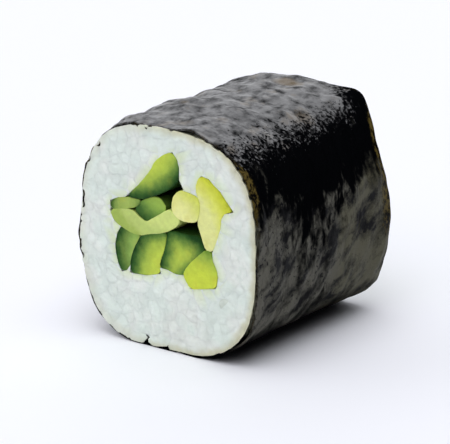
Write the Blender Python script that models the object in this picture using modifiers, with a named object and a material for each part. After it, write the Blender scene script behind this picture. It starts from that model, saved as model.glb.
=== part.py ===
"""Cucumber maki roll, one cut piece lying on its flat underside.

A seaweed sheet is wrapped once round a block of rice and laps over itself underneath. Ten sticks
of cucumber run through the rice from cut to cut, with two narrow air channels between them. The
roll lies along Y, its shown cut faces -Y, and the origin is under its middle, on the surface that
it rests on. Run with: blender --background --python part.py
"""

import math
import random

import bmesh
import bpy
import numpy as np
from mathutils import Matrix, Vector, noise
from mathutils.geometry import intersect_line_line_2d

MM = 0.001

# The roll: a rounded square in section, cut to a length close to its height.
ROLL_WIDTH = 37.8 * MM
ROLL_HEIGHT = 40.2 * MM
ROLL_LENGTH = 39.6 * MM
SQUARENESS = 2.8
UNDERSIDE_FLAT = 0.3 * MM
HALF_LENGTH = ROLL_LENGTH / 2
CENTRE_HEIGHT = ROLL_HEIGHT / 2
AXIS_HEIGHT = CENTRE_HEIGHT - UNDERSIDE_FLAT

# The seaweed sheet and the lap underneath, as angles round the section from +X.
SHEET_THICKNESS = 0.3 * MM
FIT_GAP = 0.3 * MM
SHEET_PITCH = SHEET_THICKNESS + FIT_GAP
INNER_END = math.radians(257.0)
LAP = math.radians(18.0)
LAP_STEP = math.radians(4.5)
TURNED_TIP = math.radians(3.2)
TIP_RISE = 1.1 * MM
TIP_NOTCH = (math.radians(1.2), math.radians(3.6))
SECTION_STEPS = 58
LAP_STEPS = 8
STATIONS = 15

# Shallow wrinkles that run round the sheet, and its ragged cut edges.
WRINKLE_HEIGHT = 0.42 * MM
WRINKLE_ALONG = 5.0 * MM
WRINKLE_AROUND = 13.0 * MM
WRINKLES_START_HEIGHT = 1.5 * MM
WRINKLES_FULL_HEIGHT = 7.0 * MM
EDGE_SETBACK = 0.25 * MM
EDGE_WAVER = 0.22 * MM
EDGE_WAVE_LENGTH = 6.0 * MM
EDGE_WAVE_SHIFT = 3.7

# Where the hand-pressed roll swells or is pinched: angle and its spread in degrees, place and
# spread along the roll from 0 at the shown cut to 1 at the far one, and the rise.
SWELLS = (
    (122.0, 22.0, 0.30, 0.19, 0.7 * MM),
    (124.0, 14.0, 0.85, 0.25, 0.4 * MM),
    (146.0, 11.0, 0.0, 0.10, -0.3 * MM),
    (31.0, 13.0, 1.0, 0.30, -1.2 * MM),
    (59.0, 10.0, 1.0, 0.20, 0.9 * MM),
    (10.0, 12.0, 1.0, 0.30, 0.3 * MM),
    (-36.0, 18.0, 0.95, 0.30, 0.9 * MM),
    (192.0, 11.0, 0.0, 0.30, 0.4 * MM),
    (236.0, 15.0, 0.0, 0.30, 0.5 * MM),
)

# Grains that show at both cuts: whole ones first, then the shorter ones cut across.
GRAIN_LENGTHS = (5.6 * MM, 4.6 * MM, 3.5 * MM)
GRAIN_WIDTH = 2.7 * MM
GRAIN_SIDES = 6
GRAIN_RINGS = 4
GRAIN_PROUD = 0.55 * MM
GRAIN_TILT = math.radians(9.0)
GRAIN_SPACING = 2.2 * MM
GRAIN_TRIES = 3000
RICE_SEED = 11

# The bundle of sticks leans a little across the roll on its way to the far cut.
BUNDLE_LEAN = Vector((0.9 * MM, 0.0, -0.6 * MM))
STICK_EASE = 0.16 * MM
STICK_CORNER = 0.45 * MM
CORNER_STEPS = 2
CORNER_SHARE = 0.4
SHARPEST_MITRE = 0.35
CUTTER_OVERRUN = 2.0 * MM
WELD_DISTANCE = 0.001 * MM

# Each stick: its outline on the shown cut as corners (x, z) in mm, how far its ends lie behind
# the two cuts in mm, and the slope of its cut ends across and up.
STICKS = {
    "cucumber_top_wedge": (
        [(1.1, 35.7), (2.1, 34.6), (2.5, 33.3), (2.5, 31.1), (0.8, 29.4), (-1.8, 27.9),
         (-5.0, 26.4), (-8.6, 26.2), (-5.6, 29.0), (-3.5, 31.5), (-2.2, 33.6), (-0.7, 34.8)],
        (0.1, 0.5), (0.02, -0.05)),
    "cucumber_left_sliver": (
        [(-12.1, 24.8), (-12.0, 23.4), (-9.1, 23.9), (-6.8, 24.6), (-5.2, 26.1), (-8.7, 26.0),
         (-10.4, 25.6)],
        (0.15, 0.3), (0.03, 0.02)),
    "cucumber_middle_nub": (
        [(-5.0, 26.2), (-3.5, 26.9), (-1.9, 27.1), (-1.0, 26.4), (-0.2, 25.3), (-1.8, 24.1),
         (-4.4, 22.3), (-5.9, 23.2), (-7.2, 24.3)],
        (0.35, 0.7), (-0.04, 0.05)),
    "cucumber_pale_bow": (
        [(-12.2, 23.2), (-9.6, 23.7), (-7.4, 24.0), (-6.1, 23.0), (-4.5, 22.2), (-1.8, 24.0),
         (-0.1, 25.2), (0.9, 25.4), (2.0, 24.5), (2.9, 24.0), (2.0, 22.9), (0.7, 21.9),
         (-1.9, 20.9), (-4.2, 20.4), (-5.5, 19.8), (-7.7, 20.0), (-9.7, 20.7), (-11.2, 21.4)],
        (0.05, 0.4), (0.0, 0.03)),
    "cucumber_core_lobe": (
        [(2.9, 29.3), (4.3, 29.2), (6.0, 28.9), (6.8, 28.4), (6.9, 26.7), (6.5, 24.6),
         (4.9, 24.2), (3.3, 24.1), (2.0, 24.6), (1.1, 25.6), (1.3, 27.2), (1.8, 28.5)],
        (0.0, 0.3), (-0.03, 0.0)),
    "cucumber_core_spike": (
        [(7.1, 32.6), (8.8, 32.3), (10.0, 31.3), (11.2, 30.5), (12.3, 29.2), (13.8, 27.6),
         (12.0, 27.0), (11.3, 25.9), (11.1, 24.1), (10.2, 21.5), (9.4, 19.7), (8.2, 19.8),
         (7.7, 21.2), (6.9, 23.2), (6.5, 24.6), (6.9, 26.7), (6.8, 28.4), (6.2, 29.7),
         (6.3, 31.3)],
        (0.15, 0.2), (0.02, 0.02)),
    "cucumber_skin_left": (
        [(-9.7, 20.7), (-7.7, 20.0), (-5.5, 19.8), (-6.4, 18.2), (-7.2, 16.6), (-7.7, 14.9),
         (-8.2, 13.8), (-8.8, 13.0), (-9.8, 12.6), (-10.5, 13.9), (-10.9, 15.4), (-11.1, 17.2),
         (-10.6, 19.3)],
        (0.15, 0.4), (0.05, 0.0)),
    "cucumber_skin_middle": (
        [(-4.2, 20.4), (-1.9, 20.9), (-0.2, 21.4), (-0.4, 19.4), (-0.8, 17.7), (-1.4, 16.4),
         (-1.7, 14.9), (-1.5, 13.8), (-4.5, 12.9), (-7.9, 12.7), (-7.7, 14.9), (-7.2, 16.6),
         (-6.4, 18.2), (-5.5, 19.8)],
        (0.1, 0.5), (0.03, -0.02)),
    "cucumber_skin_right": (
        [(-0.2, 21.4), (0.7, 21.7), (3.5, 21.5), (6.5, 21.7), (8.1, 19.8), (6.7, 18.4),
         (5.2, 17.0), (4.0, 15.4), (3.5, 14.5), (1.7, 14.4), (0.2, 14.8), (-1.7, 14.9),
         (-1.4, 16.4), (-0.8, 17.7), (-0.4, 19.4)],
        (0.3, 0.4), (0.0, 0.08)),
    "cucumber_corner": (
        [(8.2, 19.8), (9.4, 19.7), (9.5, 18.2), (10.4, 16.6), (10.6, 15.4), (10.3, 13.5),
         (5.1, 12.4), (4.3, 13.4), (3.5, 14.5), (4.0, 15.4), (5.2, 17.0), (6.7, 18.4)],
        (0.0, 0.3), (-0.02, 0.03)),
}

# Air channels between the sticks, as corners (x, z) in mm.
CHANNELS = (
    [(-1.9, 27.1), (0.8, 29.4), (2.5, 31.1), (3.4, 29.6), (2.9, 29.3), (1.6, 28.3), (1.2, 27.0),
     (0.9, 25.4), (-0.2, 25.3), (-1.0, 26.4)],
    [(0.7, 21.9), (2.0, 22.9), (3.3, 24.1), (6.5, 24.6), (6.9, 23.2), (8.1, 19.8), (6.5, 21.7),
     (3.5, 21.5)],
)

# Colours and gloss of the parts: base colour and roughness.
SEAWEED_FINISH = ((0.012, 0.014, 0.010), 0.42)
RICE_FINISH = ((0.86, 0.88, 0.84), 0.45)
SKIN_FINISH = ((0.20, 0.36, 0.07), 0.35)
FLESH_FINISH = ((0.52, 0.62, 0.16), 0.35)
CORE_FINISH = ((0.76, 0.78, 0.34), 0.35)
STICK_FINISHES = {
    "cucumber_pale_bow": FLESH_FINISH,
    "cucumber_corner": FLESH_FINISH,
    "cucumber_core_lobe": CORE_FINISH,
    "cucumber_core_spike": CORE_FINISH,
}


def clear_scene():
    """Removes whatever the opened file holds."""
    for found in list(bpy.data.objects):
        bpy.data.objects.remove(found, do_unlink=True)


def new_collection(name, hidden=False):
    """A collection in the scene; a hidden one holds cutters."""
    made = bpy.data.collections.new(name)
    made.hide_render = hidden
    bpy.context.scene.collection.children.link(made)
    return made


def finish_material(name, finish):
    """A material of one colour and gloss."""
    colour, roughness = finish
    made = bpy.data.materials.new(name)
    made.use_nodes = True
    shader = made.node_tree.nodes["Principled BSDF"]
    shader.inputs["Base Color"].default_value = (*colour, 1.0)
    shader.inputs["Roughness"].default_value = roughness
    shader.inputs["Metallic"].default_value = 0.0
    made.diffuse_color = (*colour, 1.0)
    return made


def smooth_step(low, high, value):
    """0 below low, 1 above high, and a smooth rise between."""
    share = min(1.0, max(0.0, (value - low) / (high - low)))
    return share * share * (3.0 - 2.0 * share)


def section_radius(angle):
    """The rounded square's radius from its centre."""
    across = abs(math.cos(angle)) / (ROLL_WIDTH / 2)
    up = abs(math.sin(angle)) / (ROLL_HEIGHT / 2)
    return (across**SQUARENESS + up**SQUARENESS) ** (-1.0 / SQUARENESS)


def swelling(angle, along):
    """How far the swells and pinches move the wall at an angle and a place along the roll."""
    total = 0.0
    for degrees, spread, place, reach, rise in SWELLS:
        turn = math.degrees(angle) - degrees
        turn = (turn + 180.0) % 360.0 - 180.0
        total += rise * math.exp(-((turn / spread) ** 2) - ((along - place) / reach) ** 2)
    return total


def wall_point(angle, y, inset):
    """The wall's point at an angle and a place y, inset from the outside and flat underneath."""
    along = (y + HALF_LENGTH) / ROLL_LENGTH
    radius = section_radius(angle) + swelling(angle, along)
    height = CENTRE_HEIGHT + radius * math.sin(angle)
    free = smooth_step(WRINKLES_START_HEIGHT, WRINKLES_FULL_HEIGHT, height)
    crease = noise.noise(Vector((
        radius * math.cos(angle) / WRINKLE_AROUND,
        y / WRINKLE_ALONG,
        radius * math.sin(angle) / WRINKLE_AROUND,
    )))
    radius += free * WRINKLE_HEIGHT * crease - inset
    if math.sin(angle) < 0:
        radius = min(radius, (AXIS_HEIGHT - inset) / -math.sin(angle))
    return Vector((radius * math.cos(angle), y, AXIS_HEIGHT + radius * math.sin(angle)))


def lap_inset(angle):
    """Extra inset of the inner layer under the lap, easing out past the outer end."""
    past = angle - INNER_END
    eased = 1.0 - smooth_step(LAP, LAP + LAP_STEP, past)
    tip = 1.0 - smooth_step(0.0, TURNED_TIP, past)
    return SHEET_PITCH * eased + TIP_RISE * tip


def rice_inset(angle):
    """Inset of the rice, which is dented under the lap and notched round its turned tip."""
    before_tip = INNER_END + math.tau - angle
    notch = (SHEET_PITCH + TIP_RISE) * (1.0 - smooth_step(*TIP_NOTCH, before_tip))
    return SHEET_PITCH + max(lap_inset(angle), notch)


def section_angles():
    """Angles once round the section from the inner end, finer where the sheet laps."""
    tip_end, lap_end = INNER_END + TURNED_TIP, INNER_END + LAP
    angles = [INNER_END, INNER_END + TURNED_TIP / 2]
    angles += list(np.linspace(tip_end, lap_end, LAP_STEPS))
    angles += [lap_end + LAP_STEP / 2]
    angles += list(np.linspace(lap_end + LAP_STEP, INNER_END + math.tau, SECTION_STEPS))
    return angles


def mesh_object(name, bm, collection):
    """A new object from a bmesh, which is freed."""
    mesh = bpy.data.meshes.new(name)
    bm.to_mesh(mesh)
    bm.free()
    made = bpy.data.objects.new(name, mesh)
    collection.objects.link(made)
    return made


def build_sheet(collection):
    """The seaweed: a grid wrapped round the section, given its thickness by Solidify."""
    angles = section_angles()
    lapped = [a for a in angles if a - INNER_END < LAP + LAP_STEP / 4][1:]
    path = [(a, SHEET_THICKNESS / 2 + lap_inset(a)) for a in angles]
    path += [(a, SHEET_THICKNESS / 2) for a in lapped]
    bm = bmesh.new()
    bmesh.ops.create_grid(bm, x_segments=len(path) - 1, y_segments=STATIONS, size=1.0)
    for vert in bm.verts:
        step = round((vert.co.x + 1.0) / 2.0 * (len(path) - 1))
        along = (vert.co.y + 1.0) / 2.0
        angle, inset = path[step]
        wave = noise.noise(Vector((
            math.cos(angle) * ROLL_WIDTH / 2 / EDGE_WAVE_LENGTH,
            round(along) * EDGE_WAVE_SHIFT,
            math.sin(angle) * ROLL_HEIGHT / 2 / EDGE_WAVE_LENGTH,
        )))
        reach = HALF_LENGTH - EDGE_SETBACK + EDGE_WAVER * wave
        vert.co = wall_point(angle, (2.0 * along - 1.0) * reach, inset)
    bmesh.ops.recalc_face_normals(bm, faces=bm.faces)
    sheet = mesh_object("nori_sheet", bm, collection)
    thick = sheet.modifiers.new("sheet_thickness", "SOLIDIFY")
    thick.thickness = SHEET_THICKNESS
    thick.offset = 0.0
    thick.use_even_offset = True
    sheet.data.shade_smooth()
    sheet.data.materials.append(finish_material("seaweed", SEAWEED_FINISH))
    return sheet


def moved_edges(corners, distance):
    """The outline with every edge moved outward by distance; negative moves it inward."""
    turn = sum(
        a[0] * b[1] - b[0] * a[1] for a, b in zip(corners, corners[1:] + corners[:1])
    )
    side = 1.0 if turn > 0 else -1.0
    moved = []
    for before, here, after in zip(
        corners[-1:] + corners[:-1], corners, corners[1:] + corners[:1]
    ):
        inward, outward = (here - before).normalized(), (after - here).normalized()
        normal_in = Vector((inward.y, -inward.x)) * side
        normal_out = Vector((outward.y, -outward.x)) * side
        middle = (normal_in + normal_out).normalized()
        moved.append(here + middle * distance / max(SHARPEST_MITRE, middle.dot(normal_in)))
    return moved


def rounded(corners, radius):
    """The outline with each corner rounded by a short curve."""
    points = []
    for before, here, after in zip(
        corners[-1:] + corners[:-1], corners, corners[1:] + corners[:1]
    ):
        back, ahead = before - here, after - here
        start = here + back.normalized() * min(radius, CORNER_SHARE * back.length)
        end = here + ahead.normalized() * min(radius, CORNER_SHARE * ahead.length)
        for step in range(CORNER_STEPS):
            share = step / (CORNER_STEPS - 1)
            one_way = start.lerp(here, share)
            points.append(one_way.lerp(here.lerp(end, share), share))
    return points


def prism(name, outline, start, end, collection, slope=(0.0, 0.0)):
    """A bar of the given outline from y start to y end, leaning with the bundle."""
    curve = bpy.data.curves.new(name, "CURVE")
    curve.dimensions = "2D"
    curve.fill_mode = "BOTH"
    curve.extrude = 0.5
    spline = curve.splines.new("POLY")
    spline.points.add(len(outline) - 1)
    for point, place in zip(spline.points, outline):
        point.co = (place.x, place.y, 0.0, 1.0)
    spline.use_cyclic_u = True
    drawn = bpy.data.objects.new(name, curve)
    collection.objects.link(drawn)
    graph = bpy.context.evaluated_depsgraph_get()
    mesh = bpy.data.meshes.new_from_object(drawn.evaluated_get(graph))
    bpy.data.objects.remove(drawn, do_unlink=True)
    bm = bmesh.new()
    bm.from_mesh(mesh)
    bpy.data.meshes.remove(mesh)
    bmesh.ops.remove_doubles(bm, verts=bm.verts, dist=WELD_DISTANCE)
    bm.transform(Matrix.Rotation(math.pi / 2, 4, "X"))
    middle = sum(outline, Vector((0.0, 0.0))) / len(outline)
    for vert in bm.verts:
        tilt = slope[0] * (vert.co.x - middle.x) + slope[1] * (vert.co.z - middle.y)
        vert.co.y = (start if vert.co.y < 0 else end) + tilt
        vert.co += BUNDLE_LEAN * (vert.co.y + HALF_LENGTH) / ROLL_LENGTH
    bmesh.ops.recalc_face_normals(bm, faces=bm.faces)
    return mesh_object(name, bm, collection)


def in_metres(corners):
    """Corners given in mm as vectors in metres."""
    return [Vector(corner) * MM for corner in corners]


def build_sticks(collection):
    """The ten cucumber sticks, each a bar with rounded corners and its own cut ends."""
    materials = {}
    for name, (corners, (front, back), slope) in STICKS.items():
        outline = rounded(moved_edges(in_metres(corners), -STICK_EASE), STICK_CORNER)
        stick = prism(
            name,
            outline,
            -HALF_LENGTH + front * MM,
            HALF_LENGTH - back * MM,
            collection,
            slope,
        )
        finish = STICK_FINISHES.get(name, SKIN_FINISH)
        if finish not in materials:
            materials[finish] = finish_material(f"cucumber_{len(materials) + 1}", finish)
        stick.data.materials.append(materials[finish])


def build_channel_cutters(collection):
    """Bars that open the rice for the sticks, with room round each, and for the air channels."""
    room = FIT_GAP - STICK_EASE
    reach = HALF_LENGTH + CUTTER_OVERRUN
    outlines = [corners for corners, _, _ in STICKS.values()] + list(CHANNELS)
    for number, corners in enumerate(outlines):
        outline = moved_edges(in_metres(corners), room)
        cutter = prism(f"channel_cutter_{number}", outline, -reach, reach, collection)
        cutter.display_type = "WIRE"
        cutter.hide_render = True


def build_rice_core(collection):
    """The block of rice inside the sheet, before its channels and grains."""
    angles = section_angles()[:-1]
    angles += [INNER_END + math.tau - before for before in reversed(TIP_NOTCH)]
    bm = bmesh.new()
    bmesh.ops.create_cone(
        bm, cap_ends=True, segments=len(angles), radius1=1.0, radius2=1.0, depth=2.0
    )
    along_edges = [e for e in bm.edges if abs(e.verts[0].co.z - e.verts[1].co.z) > 1.0]
    bmesh.ops.subdivide_edges(bm, edges=along_edges, cuts=STATIONS - 1, use_grid_fill=True)
    reach = HALF_LENGTH - GRAIN_PROUD
    for vert in bm.verts:
        turn = math.atan2(vert.co.y, vert.co.x) % math.tau
        angle = angles[round(turn / math.tau * len(angles)) % len(angles)]
        vert.co = wall_point(angle, vert.co.z * reach, rice_inset(angle))
    bmesh.ops.recalc_face_normals(bm, faces=bm.faces)
    return mesh_object("rice", bm, collection)


def distance_to_outline(place, corners):
    """Distance from a point to an outline, negative inside it."""
    nearest = math.inf
    inside = False
    for a, b in zip(corners, corners[1:] + corners[:1]):
        edge = b - a
        share = min(1.0, max(0.0, (place - a).dot(edge) / edge.length_squared))
        nearest = min(nearest, (place - (a + edge * share)).length)
        if (a.y > place.y) != (b.y > place.y):
            if place.x < a.x + (place.y - a.y) / (b.y - a.y) * edge.x:
                inside = not inside
    return -nearest if inside else nearest


def rice_room(place, y, channels):
    """How far a point of a cut lies inside the rice, clear of sheet and sticks."""
    from_centre = place - Vector((0.0, AXIS_HEIGHT))
    angle = math.atan2(from_centre.y, from_centre.x)
    while angle < INNER_END:
        angle += math.tau
    wall = wall_point(angle, y, rice_inset(angle))
    wall_radius = math.hypot(wall.x, wall.z - AXIS_HEIGHT)
    lean = BUNDLE_LEAN * (y + HALF_LENGTH) / ROLL_LENGTH
    unleaned = place - Vector((lean.x, lean.z))
    room = wall_radius - from_centre.length
    for corners in channels:
        room = min(room, distance_to_outline(unleaned, corners) - FIT_GAP)
    return room


def grain_shape(length):
    """One short grain, its length along X, as a bmesh."""
    bm = bmesh.new()
    bmesh.ops.create_uvsphere(
        bm, u_segments=GRAIN_SIDES, v_segments=GRAIN_RINGS, radius=0.5
    )
    bm.transform(Matrix.Rotation(math.pi / 2, 4, "Y"))
    bm.transform(Matrix.Diagonal((length, GRAIN_WIDTH, GRAIN_WIDTH, 1.0)))
    return bm


def spine_gap(one, other):
    """Distance between two grain spines, each a pair of end points."""
    if intersect_line_line_2d(*one, *other):
        return 0.0
    gaps = []
    for (a, b), ends in ((one, other), (other, one)):
        for end in ends:
            share = min(1.0, max(0.0, (end - a).dot(b - a) / (b - a).length_squared))
            gaps.append((end - a.lerp(b, share)).length)
    return min(gaps)


def scatter_grains(side, chance, channels, collection):
    """Fills one cut with grains, side -1 for the shown one, the longest grains first."""
    face = side * (HALF_LENGTH - GRAIN_PROUD)
    spines = []
    for length in GRAIN_LENGTHS:
        for _ in range(GRAIN_TRIES):
            place = Vector((
                chance.uniform(-ROLL_WIDTH / 2, ROLL_WIDTH / 2),
                chance.uniform(0.0, ROLL_HEIGHT),
            ))
            direction = chance.uniform(0.0, math.pi)
            half = Vector((math.cos(direction), math.sin(direction))) * (length - GRAIN_WIDTH) / 2
            spine = (place - half, place + half)
            if any(spine_gap(spine, other) < GRAIN_SPACING for other in spines):
                continue
            if rice_room(place, face, channels) < GRAIN_WIDTH / 3:
                continue
            turn = Matrix.Rotation(-direction, 4, "Y")
            turn = turn @ Matrix.Rotation(chance.uniform(-GRAIN_TILT, GRAIN_TILT), 4, "Z")
            grain = grain_shape(length)
            grain.transform(turn)
            top = max(side * vert.co.y for vert in grain.verts)
            shift = Vector((place.x, face + side * (GRAIN_PROUD - top), place.y))
            grain.transform(Matrix.Translation(shift))
            spots = [vert.co for vert in grain.verts]
            spots += [(edge.verts[0].co + edge.verts[1].co) / 2 for edge in grain.edges]
            if any(rice_room(spot.xz, face, channels) < 0.0 for spot in spots):
                grain.free()
                continue
            spines.append(spine)
            mesh_object("grain", grain, collection)


def apply_boolean(target, operation, collection):
    """Applies one Boolean of a whole collection to an object."""
    cut = target.modifiers.new("shape", "BOOLEAN")
    cut.operation = operation
    cut.operand_type = "COLLECTION"
    cut.collection = collection
    cut.solver = "EXACT"
    graph = bpy.context.evaluated_depsgraph_get()
    mesh = bpy.data.meshes.new_from_object(target.evaluated_get(graph))
    target.modifiers.remove(cut)
    target.data = mesh


def empty_collection(collection):
    """Removes a helper collection with its objects."""
    for found in list(collection.objects):
        bpy.data.objects.remove(found, do_unlink=True)
    bpy.data.collections.remove(collection)


def keep_largest_body(target):
    """Drops loose scraps that a Boolean leaves, by size."""
    bm = bmesh.new()
    bm.from_mesh(target.data)
    bodies = []
    left = set(bm.verts)
    while left:
        reached = {left.pop()}
        edge_of = set(reached)
        while edge_of:
            edge_of = {e.other_vert(v) for v in edge_of for e in v.link_edges} - reached
            reached |= edge_of
        left -= reached
        bodies.append(reached)
    bodies.sort(key=len, reverse=True)
    for scrap in bodies[1:]:
        bmesh.ops.delete(bm, geom=list(scrap), context="VERTS")
    bm.to_mesh(target.data)
    bm.free()


def build_rice(collection):
    """The rice with its channels cut and the grains of both cuts fused on."""
    rice = build_rice_core(collection)
    cutters = new_collection("rice_channels", hidden=True)
    build_channel_cutters(cutters)
    apply_boolean(rice, "DIFFERENCE", cutters)
    empty_collection(cutters)
    keep_largest_body(rice)
    grains = new_collection("rice_grains", hidden=True)
    chance = random.Random(RICE_SEED)
    channels = [in_metres(corners) for corners, _, _ in STICKS.values()]
    channels += [in_metres(corners) for corners in CHANNELS]
    for side in (-1.0, 1.0):
        scatter_grains(side, chance, channels, grains)
    apply_boolean(rice, "UNION", grains)
    empty_collection(grains)
    keep_largest_body(rice)
    rice.data.materials.clear()
    rice.data.materials.append(finish_material("rice", RICE_FINISH))
    return rice


def main():
    """Builds the sheet, the sticks and the rice in one collection."""
    clear_scene()
    roll = new_collection("cucumber_maki_roll")
    build_sheet(roll)
    build_sticks(roll)
    build_rice(roll)


main()
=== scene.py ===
"""Dresses the cucumber maki roll: wrinkled seaweed, grains of cut rice and wet cucumber sticks.

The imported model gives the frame. The cucumber sticks and the rice core are reworked from copies
of its nodes, the seaweed sheet is wrapped anew with its wrinkles, and every grain of rice that
shows at the two cuts is a real mesh. The roll lies along Y, its shown cut faces -Y, and it rests
on z = 0.
"""

import logging
import math
import random
from contextlib import contextmanager
from dataclasses import dataclass
from enum import Enum
from typing import Any, Callable, Iterator, Optional, Sequence

import bpy
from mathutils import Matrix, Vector, noise
from mathutils.bvhtree import BVHTree


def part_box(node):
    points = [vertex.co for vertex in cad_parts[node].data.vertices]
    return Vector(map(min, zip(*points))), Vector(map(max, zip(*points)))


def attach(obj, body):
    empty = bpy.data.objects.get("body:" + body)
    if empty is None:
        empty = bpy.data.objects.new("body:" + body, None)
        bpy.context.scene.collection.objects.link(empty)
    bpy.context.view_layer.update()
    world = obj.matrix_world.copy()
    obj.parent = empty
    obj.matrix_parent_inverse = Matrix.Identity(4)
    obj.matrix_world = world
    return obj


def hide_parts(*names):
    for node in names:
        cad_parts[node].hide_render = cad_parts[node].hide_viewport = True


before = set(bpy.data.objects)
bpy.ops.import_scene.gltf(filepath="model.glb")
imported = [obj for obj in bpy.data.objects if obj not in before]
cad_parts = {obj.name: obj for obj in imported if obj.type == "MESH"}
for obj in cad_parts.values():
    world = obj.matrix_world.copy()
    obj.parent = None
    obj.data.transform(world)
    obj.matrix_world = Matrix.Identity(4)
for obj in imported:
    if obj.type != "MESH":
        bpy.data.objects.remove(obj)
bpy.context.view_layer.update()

MM = 0.001
MM_PER_M = 1000.0
SAME_POINT = 0.001 * MM
LOG = logging.getLogger("maki")

Colour = tuple[float, float, float]
Span = tuple[float, float]
Triple = tuple[float, float, float]


def deselect_all() -> None:
    """Leaves nothing selected, in object mode."""
    if bpy.context.object and bpy.context.object.mode != "OBJECT":
        bpy.ops.object.mode_set(mode="OBJECT")
    bpy.ops.object.select_all(action="DESELECT")


def make_active(piece: bpy.types.Object) -> None:
    """Selects one object alone and makes it the active one.

    Args:
        piece: The object to work on.
    """
    deselect_all()
    piece.select_set(True)
    bpy.context.view_layer.objects.active = piece


@contextmanager
def editing() -> Iterator[None]:
    """Opens the active piece in edit mode with all of it selected, and closes it again."""
    bpy.ops.object.mode_set(mode="EDIT")
    bpy.ops.mesh.select_all(action="SELECT")
    yield
    bpy.ops.object.mode_set(mode="OBJECT")


def merged_copy(node: str, name: str) -> bpy.types.Object:
    """Copies a node's mesh and merges its doubled points.

    Args:
        node: The node to copy.
        name: The copy's name.

    Returns:
        The copy, bare of materials and active.
    """
    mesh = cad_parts[node].data.copy()
    mesh.materials.clear()
    piece = bpy.data.objects.new(name, mesh)
    bpy.context.scene.collection.objects.link(piece)
    make_active(piece)
    with editing():
        bpy.ops.mesh.remove_doubles(threshold=SAME_POINT)
    return piece


def apply_modifier(piece: bpy.types.Object, kind: str, **settings: Any) -> None:
    """Adds a modifier to the active piece and applies it.

    Args:
        piece: The active piece.
        kind: The modifier's type.
        **settings: Its settings, in the order in which they are set.
    """
    made = piece.modifiers.new(kind.lower(), kind)
    for name, value in settings.items():
        setattr(made, name, value)
    bpy.ops.object.modifier_apply(modifier=made.name)


def surface_of(node: str) -> BVHTree:
    """A search tree over one node's faces."""
    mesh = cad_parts[node].data
    return BVHTree.FromPolygons(
        [vert.co for vert in mesh.vertices], [face.vertices for face in mesh.polygons])


def put_attribute(mesh: bpy.types.Mesh, name: str, value: Callable[[Vector], float]) -> None:
    """Gives every point of a mesh a number.

    Args:
        mesh: The mesh.
        name: The attribute's name.
        value: Works the number out from a point.
    """
    made = mesh.attributes.new(name, "FLOAT", "POINT")
    for spot, vert in zip(made.data, mesh.vertices):
        spot.value = value(vert.co)


def noise_at(place: Sequence[float], sizes: Sequence[float], shift: Sequence[float]) -> float:
    """Noise from -1 to 1 at a place, with waves of a size and a shift along each axis."""
    return noise.noise(Vector(at / size + off for at, size, off in zip(place, sizes, shift)))


def smooth_step(low: float, high: float, value: float) -> float:
    """Rises smoothly from 0 where the value is low to 1 where it is high."""
    share = min(1.0, max(0.0, (value - low) / (high - low)))
    return share * share * (3.0 - 2.0 * share)


class Wire:
    """A shader socket that arithmetic builds Math nodes from."""

    def __init__(self, tree: bpy.types.NodeTree, socket: bpy.types.NodeSocket) -> None:
        """Wraps one output socket of a node tree."""
        self.tree = tree
        self.socket = socket

    def maths(self, operation: str, *values: Any, clamp: bool = False) -> "Wire":
        """Adds a Math node.

        Args:
            operation: The node's operation.
            *values: Its inputs in order, wires or numbers.
            clamp: Whether the result is held between 0 and 1.

        Returns:
            The node's result.
        """
        node = self.tree.nodes.new("ShaderNodeMath")
        node.operation = operation
        node.use_clamp = clamp
        for socket, value in zip(node.inputs, values):
            if isinstance(value, Wire):
                self.tree.links.new(value.socket, socket)
            else:
                socket.default_value = value
        return Wire(self.tree, node.outputs[0])

    def __add__(self, other: Any) -> "Wire":
        """Sum."""
        return self.maths("ADD", self, other)

    __radd__ = __add__

    def __mul__(self, other: Any) -> "Wire":
        """Product."""
        return self.maths("MULTIPLY", self, other)

    __rmul__ = __mul__

    def __sub__(self, other: Any) -> "Wire":
        """Difference."""
        return self.maths("SUBTRACT", self, other)

    def __rsub__(self, other: Any) -> "Wire":
        """Difference from a number."""
        return self.maths("SUBTRACT", other, self)

    def __truediv__(self, other: Any) -> "Wire":
        """Quotient."""
        return self.maths("DIVIDE", self, other)

    def __neg__(self) -> "Wire":
        """Negative."""
        return 0.0 - self

    def __abs__(self) -> "Wire":
        """Size without its sign."""
        return self.maths("ABSOLUTE", self)

    def __pow__(self, power: float) -> "Wire":
        """Power."""
        return self.maths("POWER", self, power)

    def turn_over(self, across: "Wire") -> "Wire":
        """The angle of a slope that climbs by this over a distance across, in radians."""
        return self.maths("ARCTAN2", self, across)

    def lowest(self, other: Any) -> "Wire":
        """The smaller of the two."""
        return self.maths("MINIMUM", self, other)

    def highest(self, other: Any) -> "Wire":
        """The larger of the two."""
        return self.maths("MAXIMUM", self, other)

    def root(self) -> "Wire":
        """Square root."""
        return self.maths("SQRT", self)

    def clamped(self) -> "Wire":
        """Held between 0 and 1."""
        return self.maths("ADD", self, 0.0, clamp=True)

    def rise(self, low: float, high: float) -> "Wire":
        """A smooth rise from 0 where this is low to 1 where it is high."""
        share = ((self - low) / (high - low)).clamped()
        return share * share * (3.0 - 2.0 * share)


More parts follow.
